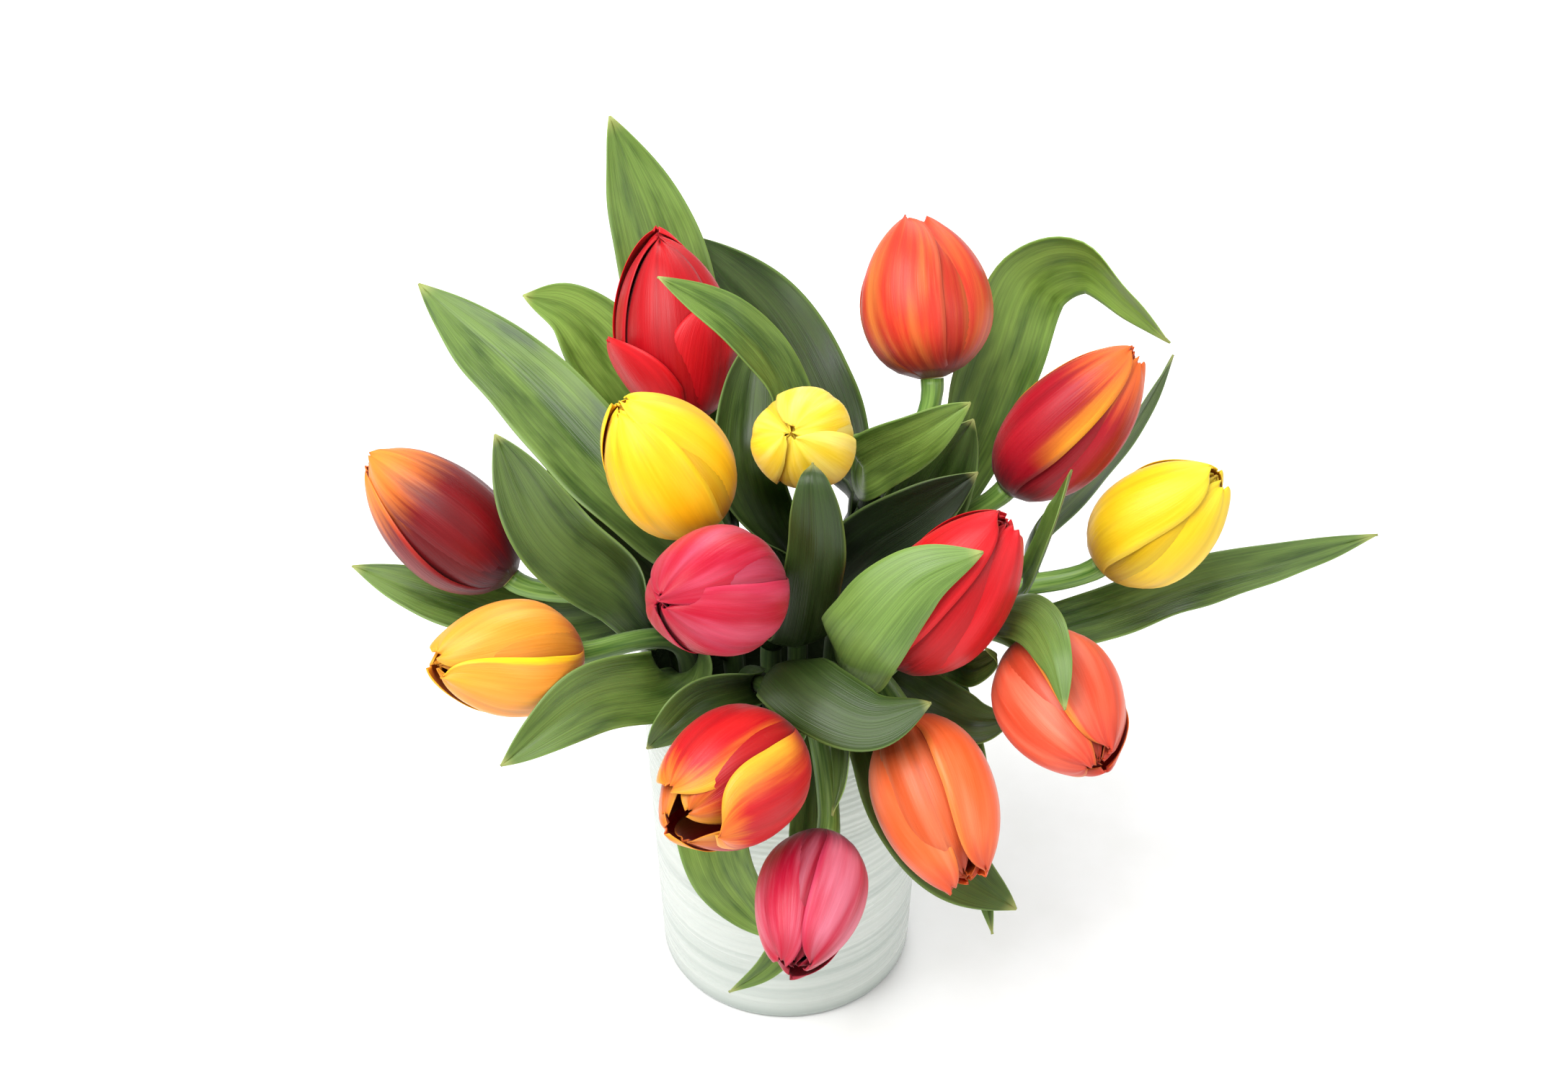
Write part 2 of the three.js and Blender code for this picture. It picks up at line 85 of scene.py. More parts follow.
TULIPS = [
    dict(name="red_upper", foot=(24, 122), mouth=(38, 122), rise=26, bloom=(-33, 42, 205),
         tilt=30, faces=108, length=66, radius=21, opening=0.35, slot="petal_red",
         petals=[(0, 185, 1.0, 72, 0), (0, -62, 0.5, 52, 3), (0, 42, 0.62, 56, 1.5),
                 (1, -14, 0.95, 62, 0), (1, 110, 0.97, 60, 0), (1, -125, 0.97, 60, 0)]),
    dict(name="yellow_upper", foot=(10, 190), mouth=(20, 200), rise=30, bloom=(-25, -24, 215),
         tilt=31, faces=176, length=53, radius=20, opening=0.16, slot="petal_yellow", turn=75, tuck=0.6,
         gape=0.8),
    dict(name="yellow_small", foot=(10, 70), mouth=(12, 70), rise=40, bloom=(9, -10, 235),
         tilt=48, faces=-105, length=40, radius=16, opening=0.3, slot="petal_yellow", turn=72),
    dict(name="coral_top", foot=(24, 56), mouth=(38, 56), rise=30, bloom=(49, 41, 224),
         tilt=38, faces=100, length=54, radius=22, opening=0.18, slot="petal_coral", turn=-48, gape=1.0),
    dict(name="flame_right", foot=(26, 26), mouth=(38, 26), rise=26, bloom=(74, 17, 196),
         tilt=38, faces=8, length=66, radius=18, opening=0.2, slot="petal_flame", turn=-50, gape=0.8),
    dict(name="yellow_right", foot=(26, 0), mouth=(38, 0), rise=22, bloom=(106, 1, 176),
         tilt=41, faces=-4, length=54, radius=19, opening=0.25, slot="petal_yellow", turn=-57, gape=0.9),
    dict(name="red_front", foot=(12, -30), mouth=(20, -36), rise=30, bloom=(33, -60, 187),
         tilt=37, faces=16, length=62, radius=19, opening=0.3, slot="petal_red", turn=-60, tuck=1.8,
         gape=0.7),
    dict(name="coral_right", foot=(26, -28), mouth=(38, -28), rise=22, bloom=(78, -47, 180),
         tilt=90, faces=-70, length=56, radius=20, opening=0.35, slot="petal_coral", turn=60, gape=0.6),
    dict(name="orange_front", foot=(26, -56), mouth=(37, -56), rise=20, bloom=(38, -64, 166),
         tilt=117, faces=-68, length=58, radius=19, opening=0.3, slot="petal_orange", gape=0.9,
         petals=[(0, 82, 1.0, 74, 0.5), (0, -82, 0.97, 72, 0.5), (0, 180, 0.96, 62, 0),
                 (1, 10, 0.93, 40, 1.8), (1, 125, 0.95, 52, 0), (1, -125, 0.95, 52, 0)]),
    dict(name="flame_open", foot=(26, -112), mouth=(37, -112), rise=18, bloom=(1, -80, 172),
         tilt=88, faces=-132, length=54, radius=21, opening=0.6, slot="petal_flame", open=True,
         gape=0.15,
         petals=[(0, 62, 0.92, 58, 1.5), (0, -50, 0.88, 60, 2.5), (0, 175, 1.0, 62, 1.0),
                 (1, 2, 0.93, 56, 0), (1, 118, 0.96, 52, 0), (1, -112, 0.95, 62, 1.5)]),
    dict(name="pink_low", foot=(26, -84), mouth=(35, -84), rise=30, bloom=(13, -90, 138),
         tilt=100, faces=-103, length=50, radius=17, opening=0.35, slot="petal_pink", turn=60, gape=0.8),
    dict(name="pink_centre", foot=(12, -100), mouth=(19, -106), rise=24, bloom=(-7, -51, 211),
         tilt=64, faces=-132, length=52, radius=20, opening=0.3, slot="petal_pink", turn=60),
    dict(name="apricot_left", foot=(26, -150), mouth=(38, -150), rise=22, bloom=(-69, -40, 172),
         tilt=68, faces=-146, length=54, radius=18.5, opening=0.22, slot="petal_apricot", turn=60,
         gape=0.9),
    dict(name="flame_left", foot=(26, 178), mouth=(38, 178), rise=22, bloom=(-93, 1, 170),
         tilt=54, faces=157, length=62, radius=19, opening=0.22, slot="petal_flame", turn=10, gape=0.9),
]

# ---- The leaves, as in the CAD ----
# (stem, node, midrib, width, faces, cup, tone), where tone is from 0, dark, to 1, pale: partly the
# leaf's own green and partly painted shade, darkest for the leaves in the middle of the bunch. A last
# number, if there is one, says how full the blade stays towards its tip.

LEAVES = [
    ("red_upper", 12, [(-38, 78, 206), (-44, 98, 234), (-61, 121, 278)], 36, (60, -70), 60, 0.5),
    ("red_upper", 26, [(-58, 64, 212), (-75, 74, 228), (-90, 73, 236)], 34, (60, -50), 50, 0.7),
    ("coral_top", 14, [(19, 50, 174), (9, 74, 191), (-6, 94, 211), (-34, 110, 236)],
     34, (50, -65), 70, 0.15),
    ("coral_top", 44, [(25, 13, 208), (31, 8, 217), (43, 5, 227), (60, 10, 237)],
     23, (60, -70), 40, 0.6),
    ("yellow_upper", 20, [(-55, 7, 205), (-85, 33, 225), (-125, 70, 243)], 32, (50, -60), 50, 0.45),
    ("yellow_upper", -6, [(-47, 3, 174), (-64, 15, 187), (-82, 30, 198)], 20, (50, -60), 50, 0.1),
    ("apricot_left", 12, [(-54, -16, 178), (-77, -8, 196), (-96, 13, 222)], 27, (55, -80), 50, 0.25),
    ("flame_left", -9, [(-54, 0, 155), (-81, 3, 149), (-115, 7, 155), (-149, 16, 163)],
     24, (25, -90), 60, 0.45),
    ("apricot_left", -9, [(-41, -51, 168), (-62, -66, 176), (-90, -86, 166)], 24, (45, -90), 50, 0.35),
    ("flame_open", 11, [(-28, -60, 169), (-37, -67, 165), (-45, -69, 157)], 16, (60, -90), 60, 0.2),
    ("flame_open", 27, [(-3, -60, 185), (10, -77, 187), (26, -86, 186), (45, -84, 191)],
     25, (145, 90), 60, 0.15),
    ("flame_open", -9, [(-19, -52, 155), (-25, -74, 138), (-21, -84, 117), (-12, -86, 100),
                        (-1, -87, 86)],
     24, (70, -90), 50, 0.7),
    ("pink_centre", 12, [(4, -46, 182), (8, -54, 212), (9, -58, 241), (8, -54, 256), (8, -47, 256)],
     19, (130, 90), 60, 0.1, 5.0),
    ("yellow_small", 10, [(-8, 14, 188), (-13, 14, 211), (-12, 32, 226), (-8, 53, 237)],
     24, (60, -90), 120, 0.2),
    ("yellow_small", 44, [(4, 12, 222), (-4, 16, 246), (-18, 17, 265), (-41, 21, 279)],
     20, (80, -30), 60, 0.5),
    ("yellow_small", -2, [(15, 3, 167), (27, 0, 185), (45, 0, 200), (63, 4, 213)],
     24, (60, -90), 50, 0.0),
    ("flame_right", 18, [(61, 46, 190), (73, 66, 214), (84, 80, 238), (101, 76, 247), (116, 62, 240),
                         (129, 50, 232)], 34, (65, -60), 50, 0.85),
    ("yellow_right", 40, [(84, 24, 168), (107, 45, 180), (122, 56, 196), (134, 67, 215)],
     16, (90, -30), 60, 0.25),
    ("red_front", 22, [(18, -62, 188), (22, -74, 208), (40, -70, 230), (60, -66, 237)],
     30, (120, 70), 70, 0.6),
    ("yellow_right", 24, [(77, -23, 184), (83, -24, 203), (88, -19, 219), (92, -6, 222)],
     18, (90, 180), 90, 0.3),
    ("yellow_right", -9, [(47, -12, 155), (62, -13, 157), (80, -9, 153), (106, -1, 154),
                          (139, 12, 158), (172, 20, 162), (204, 27, 168)], 20, (25, -90), 50, 0.35),
    ("coral_right", 37, [(66, -40, 190), (77, -62, 206), (82, -83, 209), (85, -97, 200)],
     17, (130, 90), 60, 0.5),
    ("coral_right", 15, [(55, -45, 173), (60, -57, 181), (66, -60, 189), (62, -63, 195)],
     12, (60, -90), 60, 0.3),
    ("orange_front", -9, [(28, -46, 157), (34, -57, 150), (42, -70, 134), (56, -83, 117),
                          (75, -93, 108)],
     32, (60, -90), 55, 0.25),
    ("coral_right", -9, [(49, -27, 156), (59, -48, 140), (63, -70, 112), (68, -90, 93)],
     12, (60, -90), 60, 0.4),
    ("pink_low", -17, [(5, -43, 149), (7, -53, 154), (8, -62, 146), (8, -78, 131), (6, -95, 114),
                       (-5, -104, 94), (-19, -104, 80)], 14, (60, -90), 60, 0.4),
    ("orange_front", 9, [(48, -51, 160), (62, -54, 155), (74, -56, 158)], 20, (50, -90), 50, 0.2),
    ("coral_top", 27, [(41, 15, 180), (51, 15, 203), (62, 21, 222)], 28, (55, -90), 50, 0.15),
    ("pink_low", 0, [(14, -42, 163), (16, -58, 172), (18, -76, 169), (17, -90, 162), (14, -98, 156)],
     13, (60, -160), 60, 0.3),
]

# ---- The colours of the petals ----
# body; deep, towards the base: partly the bloom's own darker flush and partly painted shade; light, in
# streaks and flushes; edge, along the margins; tip; inside. The numbers say how much of each, and from
# where.

LOOKS = {
    "red_upper": dict(body="be0414", base_flush_and_shade="74030e", light="da1a24", edge="cc101a", tip="cc1018",
                      inside="a40512", base_to=0.12),
    "yellow_upper": dict(body="e9ae06", base_flush_and_shade="d67c06", light="f4ce2c", edge="f4cc28", tip="f4cf2a",
                         inside="e09a0c"),
    "yellow_small": dict(body="f0ca20", base_flush_and_shade="d8960e", light="faea86", edge="f6de5c", tip="f4d444",
                         inside="e0a818", light_amount=0.6),
    "coral_top": dict(body="cc3422", base_flush_and_shade="8e1c14", light="d88a3c", edge="e0704c", tip="d8461f",
                      inside="a82218", light_amount=0.6, edge_at=0.85, edge_amount=0.5),
    "flame_right": dict(body="98061a", base_flush_and_shade="5c0418", light="b81c2a", edge="f09a24", tip="e86c28",
                        inside="b42c14", edge_at=0.5, edge_amount=1.0, edge_from=0.25, tip_at=0.66,
                        tip_amount=0.85),
    "yellow_right": dict(body="e6bb14", base_flush_and_shade="c8800a", light="eed23c", edge="f0ce34", tip="eed034",
                         inside="d89e12", base_to=0.4),
    "red_front": dict(body="c00612", base_flush_and_shade="62030c", light="dc222a", edge="d01018", tip="c80e1a",
                      inside="86050f"),
    "coral_right": dict(body="da4a2c", base_flush_and_shade="962014", light="e8886a", edge="ea9a34", tip="a82016",
                        inside="cc4016", edge_at=0.88, edge_amount=0.8, light_amount=0.5),
    "orange_front": dict(body="e4602c", base_flush_and_shade="cc4a24", light="ec8a62", edge="f08a3a", tip="b4301c",
                         inside="ee6a1c", light_amount=0.5, edge_at=0.85),
    "flame_open": dict(body="b80a16", base_flush_and_shade="860814", light="d02c24", edge="f2a82c", tip="ee8a26",
                       inside="901210", edge_at=0.42, edge_amount=1.0, edge_from=0.1, tip_at=0.8),
    "pink_low": dict(body="b40c32", base_flush_and_shade="6e2040", light="dc92a6", edge="c43a5c", tip="960f20",
                     inside="6c0a18", light_amount=0.45, base_to=0.3),
    "pink_centre": dict(body="b0082a", base_flush_and_shade="7c0824", light="d45a76", edge="c22a4c", tip="a00c24",
                        inside="7c0a1c", light_amount=0.5),
    "apricot_left": dict(body="e8922c", base_flush_and_shade="d8481f", light="f0b04e", edge="f4c814", tip="ea9a24",
                         inside="e08812", edge_at=0.84, edge_amount=1.0, base_to=0.3),
    "flame_left": dict(body="66030b", base_flush_and_shade="480c20", light="8e0e16", edge="b8301e", tip="ee842e",
                       inside="9c2412", tip_at=0.58, tip_amount=1.0, edge_at=0.82, edge_from=0.3),
}
LOOK = dict(light_amount=0.4, edge_at=0.8, edge_amount=0.6, edge_from=0.0, tip_at=0.82,
            tip_amount=0.6, base_to=0.25, base_amount=0.8)

# ---- The other colours ----
# dark, fresh and under hold the darkest leaf's colour and the palest one's; the darkest are partly
# painted shade. base is painted shade towards the base of a leaf.

PISTIL = "c9c06a"
LEAF = dict(dark=("070f03", "44661a"), fresh=("132406", "8aac4a"), under=("102008", "82a552"),
            margin="8aa858", tip="b4b46a", base="081405")
STEM = dict(dark="466f24", light="7da047", in_the_vase="16270f")
# In GLASS, foot and rim are painted shade: at the foot, and where the wall turns away from view.
GLASS = dict(cloud="bcc3bc", clear="c6cbc5", leafy="b0bcac", bands="8f9b94", foot="7d8a83",
             rim="86928b", inside="3c4a33")


# ---- Geometry ----

def radians(degrees):
    return degrees * math.pi / 180


def unit(vector):
    return vector / np.linalg.norm(vector)


def flattened(vector, normal):
    """vector's direction in the plane across normal."""
    return unit(vector - np.dot(vector, normal) * normal)


def turned(vector, axis, angle):
    """vector turned about a unit axis."""
    return (vector * math.cos(angle) + np.cross(axis, vector) * math.sin(angle)
            + axis * np.dot(axis, vector) * (1 - math.cos(angle)))


def around(radius, heading, z):
    return np.array([radius * math.cos(radians(heading)), radius * math.sin(radians(heading)), z])


def direction(tilt, heading):
    return around(math.sin(radians(tilt)), heading, math.cos(radians(tilt)))


def ease(t):
    t = np.clip(t, 0.0, 1.0)
    return t * t * (3 - 2 * t)


def mix(a, b, t):
    return a + (b - a) * t


class Line:
    """A line through close points, measured along its length."""

    def __init__(self, points):
        self.points = np.array(points, float)
        steps = np.linalg.norm(np.diff(self.points, axis=0), axis=1)
        self.at = np.concatenate([[0.0], np.cumsum(steps)])
        self.length = self.at[-1]

    def point(self, distance):
        return np.array([np.interp(distance, self.at, self.points[:, k]) for k in range(3)]).T

    def along(self, distance):
        step = 0.4
        ahead = min(distance + step, self.length)
        return unit(self.point(ahead) - self.point(max(ahead - 2 * step, 0.0)))


def stem_line(tulip):
    """A stem's centre line, and the length of its straight stretch."""
    foot = around(*tulip["foot"], FLOOR)
    mouth = around(*tulip["mouth"], VASE_HEIGHT)
    lean = unit(mouth - foot)
    foot = foot + lean * (FOOT_CLEARANCE + STEM_RADIUS * math.tan(math.acos(lean[2])))
    top = np.array(tulip["bloom"], float)
    axis = direction(tulip["tilt"], tulip["faces"])
    reach = np.linalg.norm(mouth - top) * APPROACH
    controls = mouth, mouth + lean * tulip["rise"], top - axis * reach, top
    straight = [mix(foot, mouth, t) for t in np.linspace(0, 1, 12, endpoint=False)]
    bend = []
    for t in np.linspace(0, 1, 80):
        shares = (1 - t) ** 3, 3 * t * (1 - t) ** 2, 3 * t * t * (1 - t), t ** 3
        bend.append(sum(point * share for point, share in zip(controls, shares)))
    return Line(straight + bend), float(np.linalg.norm(mouth - foot))


def smooth_line(points, steps=30):
    """A centripetal Catmull-Rom curve through the points."""
    points = [np.array(p, float) for p in points]
    points = [2 * points[0] - points[1], *points, 2 * points[-1] - points[-2]]
    found = []
    for a, b, c, d in zip(points, points[1:], points[2:], points[3:]):
        ab, bc, cd = (math.sqrt(np.linalg.norm(q - p)) for p, q in ((a, b), (b, c), (c, d)))
        start = ((b - a) / ab - (c - a) / (ab + bc) + (c - b) / bc) * bc
        end = ((c - b) / bc - (d - b) / (bc + cd) + (d - c) / cd) * bc
        for t in np.linspace(0, 1, steps, endpoint=False):
            found.append((2 * t ** 3 - 3 * t ** 2 + 1) * b + (t ** 3 - 2 * t ** 2 + t) * start
                         + (3 * t ** 2 - 2 * t ** 3) * c + (t ** 3 - t ** 2) * end)
    return Line(found + [points[-2]])


class Shape:
    """Vertices, faces and surface coordinates, gathered into one mesh."""

    def __init__(self):
        self.vertices, self.faces, self.grain, self.side = [], [], [], []
        self.count = 0

    def add(self, points, faces, grain, side):
        """points, grain and side are n by 3; faces hold indices into points."""
        self.vertices.append(points)
        self.grain.append(grain)
        self.side.append(side)
        self.faces += [tuple(self.count + k for k in face) for face in faces]
        self.count += len(points)

    def shell(self, outer, thickness, u, v, seed, layer=0.0, v_scale=1.0):
        """A thin closed sheet: a grid of points on its outer side, and its thickness at each."""
        rows, columns = outer.shape[:2]
        normal = np.cross(np.gradient(outer, axis=1), np.gradient(outer, axis=0))
        normal /= np.linalg.norm(normal, axis=2, keepdims=True)
        inner = outer - normal * thickness[:, :, None]
        size = rows * columns
        index = np.arange(size).reshape(rows, columns)
        faces = []
        for i in range(rows - 1):
            for j in range(columns - 1):
                quad = index[i, j], index[i, j + 1], index[i + 1, j + 1], index[i + 1, j]
                faces += [quad, tuple(size + k for k in reversed(quad))]
        rim = [*index[0, :], *index[1:, -1], *index[-1, -2::-1], *index[-2:0:-1, 0]]
        faces += [(a, a + size, b + size, b) for a, b in zip(rim, rim[1:] + rim[:1])]
        grain = np.stack([u, v * v_scale, np.full_like(u, seed)], -1).reshape(-1, 3)
        side = [np.stack([np.full_like(u, inside), v, np.full_like(u, layer)], -1).reshape(-1, 3)
                for inside in (0.0, 1.0)]
        self.add(np.concatenate([outer.reshape(-1, 3), inner.reshape(-1, 3)]), faces,
                 np.concatenate([grain, grain]), np.concatenate(side))

    def tube(self, line, radius, sides, distances, seed, layer=0.0):
        """A round rod along a line, with a radius at each distance along it."""
        across = flattened(np.array([1.0, 0.0, 0.0]), line.along(0.0))
        points, grain = [], []
        for distance, r in zip(distances, radius):
            along = line.along(distance)
            across = flattened(across, along)
            other = np.cross(along, across)
            centre = line.point(distance)
            for k in range(sides):
                angle = 2 * math.pi * k / sides
                points.append(centre + (across * math.cos(angle) + other * math.sin(angle)) * r)
                grain.append((math.cos(angle), distance / 100, seed + math.sin(angle)))
        faces = [(i * sides + k, i * sides + (k + 1) % sides,
                  (i + 1) * sides + (k + 1) % sides, (i + 1) * sides + k)
                 for i in range(len(distances) - 1) for k in range(sides)]
        last = (len(distances) - 1) * sides
        faces += [tuple(reversed(range(sides))), tuple(last + k for k in range(sides))]
        side = np.zeros((len(points), 3))
        side[:, 1] = np.repeat(np.array(distances) / line.length, sides)
        side[:, 2] = layer
        self.add(np.array(points), faces, np.array(grain), side)

    def piece(self, name, node, slot, material):
        """The mesh as an object that stands for a CAD node."""
        mesh = bpy.data.meshes.new(name)
        mesh.from_pydata((np.concatenate(self.vertices) * MM).tolist(), [], self.faces)
        mesh.polygons.foreach_set("use_smooth", [len(face) == 4 for face in self.faces])
        for attribute, rows in (("grain", self.grain), ("side", self.side)):
            made = mesh.attributes.new(attribute, "FLOAT_VECTOR", "POINT")
            made.data.foreach_set("vector", np.concatenate(rows).astype(np.float32).ravel())
        mesh.materials.append(material)
        mesh.update()
        piece = bpy.data.objects.new(name, mesh)
        bpy.context.scene.collection.objects.link(piece)
        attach(piece, "root")
        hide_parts(node)
        return piece


# ---- Materials ----

def colour(text):
    """A linear colour from six hexadecimal digits of sRGB."""
    parts = [int(text[k:k + 2], 16) / 255 for k in (0, 2, 4)]
    return tuple(c / 12.92 if c <= 0.04045 else ((c + 0.055) / 1.055) ** 2.4 for c in parts) + (1.0,)


class Material:
    """A Principled material and short ways to add nodes to it."""

    def __init__(self, name):
        self.material = bpy.data.materials.new(name)
        self.material.use_nodes = True
        self.tree = self.material.node_tree
        self.tree.nodes.clear()
        self.shader = self.node("ShaderNodeBsdfPrincipled")
        output = self.node("ShaderNodeOutputMaterial")
        self.tree.links.new(self.shader.outputs["BSDF"], output.inputs["Surface"])

    def node(self, kind, inputs=None, **settings):
        made = self.tree.nodes.new(kind)
        for key, value in settings.items():
            setattr(made, key, value)
        for key, value in (inputs or {}).items():
            self.put(made.inputs[key], value)
        return made

    def put(self, socket, value):
        if isinstance(value, bpy.types.NodeSocket):
            self.tree.links.new(value, socket)
        else:
            socket.default_value = value

    def shade(self, **inputs):
        for key, value in inputs.items():
            self.put(self.shader.inputs[key.replace("_", " ")], value)

    def read(self, name):
        """The three parts of a vector attribute."""
        source = self.node("ShaderNodeAttribute", attribute_name=name)
        return self.node("ShaderNodeSeparateXYZ", {0: source.outputs["Vector"]}).outputs

    def math(self, operation, a, b=0.0):
        return self.node("ShaderNodeMath", {0: a, 1: b}, operation=operation).outputs[0]

    def ramp(self, value, low, high, start=0.0, end=1.0):
        return self.node("ShaderNodeMapRange", {"Value": value, "From Min": low, "From Max": high,
                                                "To Min": start, "To Max": end},
                         interpolation_type="SMOOTHSTEP").outputs["Result"]

    def noise(self, parts, scales, detail=3.0, roughness=0.55):
        """Noise over three coordinates, each times its scale. A higher scale gives finer marks."""
        scaled = {k: part if scale == 1 else self.math("MULTIPLY", part, scale)
                  for k, (part, scale) in enumerate(zip(parts, scales))}
        at = self.node("ShaderNodeCombineXYZ", scaled).outputs[0]
        return self.node("ShaderNodeTexNoise", {"Vector": at, "Scale": 1.0, "Detail": detail,
                                                "Roughness": roughness}).outputs[0]

    def blend(self, factor, a, b, kind="MIX"):
        made = self.node("ShaderNodeMix", data_type="RGBA", blend_type=kind)
        for socket, value in ((made.inputs[0], factor), (made.inputs[6], a), (made.inputs[7], b)):
            self.put(socket, value)
        return made.outputs[2]

    def darkened(self, paint, shade):
        """paint times a grey."""
        grey = self.node("ShaderNodeCombineColor", {0: shade, 1: shade, 2: shade}).outputs[0]
        return self.blend(1.0, paint, grey, "MULTIPLY")

    def bump(self, height, strength, distance):
        made = self.node("ShaderNodeBump", {"Height": height, "Strength": strength,
                                            "Distance": distance})
        self.shade(Normal=made.outputs["Normal"])


def petal_material(name):
    """A tulip's petals: flushed, streaked along their length, and coloured as its row of LOOKS says."""
    look = {**LOOK, **LOOKS[name]}
    m = Material(f"petals_{name}")
    u, v, seed = m.read("grain")
    inside, _, layer = m.read("side")
    across = m.math("ABSOLUTE", u)
    streak = m.noise((u, v, seed), (9.0, 1.6, 1), 4.0, 0.6)
    fine = m.noise((u, v, seed), (38.0, 2.2, 1), 2.0)
    patch = m.noise((u, v, m.math("ADD", seed, 11.0)), (3.0, 1, 1), 2.0)
    ragged = m.math("SUBTRACT", streak, 0.5)
    away = m.math("ADD", across, m.math("MULTIPLY", ragged, 0.35))
    up = m.math("ADD", v, m.math("MULTIPLY", ragged, 0.3))

    # Flushes and streaks, then the base, partly its own darker flush and partly painted shade, the
    # margins, the tip and the inside.
    paint = m.blend(m.math("MULTIPLY", m.ramp(patch, 0.38, 0.75), look["light_amount"]),
                    colour(look["body"]), colour(look["light"]))
    paint = m.blend(m.math("MULTIPLY", m.ramp(streak, 0.45, 0.75), 0.16), paint,
                    colour(look["light"]))
    low = m.math("MULTIPLY", m.ramp(up, 0.0, look["base_to"], 1.0, 0.0), look["base_amount"])
    paint = m.blend(low, paint, colour(look["base_flush_and_shade"]))
    edge = m.math("MULTIPLY", m.ramp(away, look["edge_at"], 1.0),
                  m.ramp(v, look["edge_from"], look["edge_from"] + 0.3))
    paint = m.blend(m.math("MULTIPLY", edge, look["edge_amount"]), paint, colour(look["edge"]))
    tip = m.math("MULTIPLY", m.ramp(up, look["tip_at"], 1.0), look["tip_amount"])
    paint = m.blend(tip, paint, colour(look["tip"]))
    paint = m.blend(m.math("MULTIPLY", inside, 0.75), paint, colour(look["inside"]))

    # Darker in the streaks, and painted shade on the inner petals, at the base and along the crease.
    marks = m.math("ADD", m.math("MULTIPLY", streak, 0.6), m.math("MULTIPLY", fine, 0.4))
    shade = m.ramp(marks, 0.3, 0.7, 0.9, 1.02)
    for other in (m.ramp(layer, 0.4, 0.6, 1.0, 0.74), m.ramp(v, 0.0, 0.3, 0.8, 1.0),
                  m.ramp(across, 0.0, 0.1, 0.86, 1.0)):
        shade = m.math("MULTIPLY", shade, other)
    paint = m.darkened(paint, shade)
    paint = m.blend(m.ramp(layer, 1.4, 1.6), paint, colour(PISTIL))
    m.shade(Base_Color=paint, Roughness=m.ramp(fine, 0.3, 0.7, 0.36, 0.5), Subsurface_Weight=0.08,
            Subsurface_Scale=0.003, Subsurface_Radius=(1.0, 0.4, 0.2), Sheen_Weight=0.06,
            Sheen_Roughness=0.4, Specular_IOR_Level=0.26)
    m.bump(m.math("ADD", fine, m.math("MULTIPLY", streak, 0.6)), 0.25, 0.0005)
    return m.material


def leaf_material(name, tone_and_shade):
    """A leaf: waxy, veined along its length, with painted shade at its base. tone: 0, dark, to 1, pale.
    """
    m = Material(f"blade_{name}")
    u, v, seed = m.read("grain")
    inside, s, _ = m.read("side")
    veins = m.noise((u, v, seed), (26.0, 1.4, 1), 2.0)
    broad = m.noise((u, v, seed), (2.2, 3.0, 1), 3.0)
    # Each pair is blended by the leaf's tone, whose dark end is partly painted shade.
    dark, fresh, under = (m.blend(tone_and_shade, colour(LEAF[part][0]), colour(LEAF[part][1]))
                          for part in ("dark", "fresh", "under"))
    lightening = m.math("ADD", broad, m.math("MULTIPLY", s, 0.25))
    paint = m.blend(m.ramp(lightening, 0.4, 0.85), dark, fresh)
    paint = m.blend(m.math("MULTIPLY", m.math("SUBTRACT", 1.0, inside), 0.6), paint, under)
    paint = m.darkened(paint, m.ramp(veins, 0.3, 0.7, 0.8, 1.12))
    margin = m.ramp(m.math("ABSOLUTE", u), 0.9, 1.0)
    paint = m.blend(m.math("MULTIPLY", margin, 0.4), paint, colour(LEAF["margin"]))
    paint = m.blend(m.ramp(s, 0.95, 1.0, 0.0, 0.5), paint, colour(LEAF["tip"]))
    # Painted shade towards the base of the blade, in the middle of the bunch.
    paint = m.blend(m.ramp(s, 0.05, 0.45, 0.7, 0.0), paint, colour(LEAF["base"]))
    m.shade(Base_Color=paint, Roughness=m.ramp(broad, 0.3, 0.7, 0.34, 0.5), Specular_IOR_Level=0.34,
            Subsurface_Weight=0.04, Subsurface_Scale=0.003, Subsurface_Radius=(0.4, 1.0, 0.2),
            Coat_Weight=0.03, Coat_Roughness=0.35)
    m.bump(veins, 0.3, 0.0006)
    return m.material


def stem_material():
    """The stems' streaked green skin, in the shade inside the vase."""
    m = Material("stem_skin")
    u, v, seed = m.read("grain")
    streak = m.noise((u, v, seed), (5.0, 4.0, 5.0), 3.0)
    paint = m.blend(m.ramp(streak, 0.3, 0.7), colour(STEM["dark"]), colour(STEM["light"]))
    paint = m.blend(m.ramp(v, 1.45, 2.0, 0.75, 0.0), paint, colour(STEM["in_the_vase"]))
    m.shade(Base_Color=paint, Roughness=m.ramp(streak, 0.3, 0.7, 0.36, 0.5), Subsurface_Weight=0.12,
            Subsurface_Scale=0.003, Subsurface_Radius=(0.5, 1.0, 0.3), Sheen_Weight=0.1)
    m.bump(streak, 0.2, 0.0005)
    return m.material


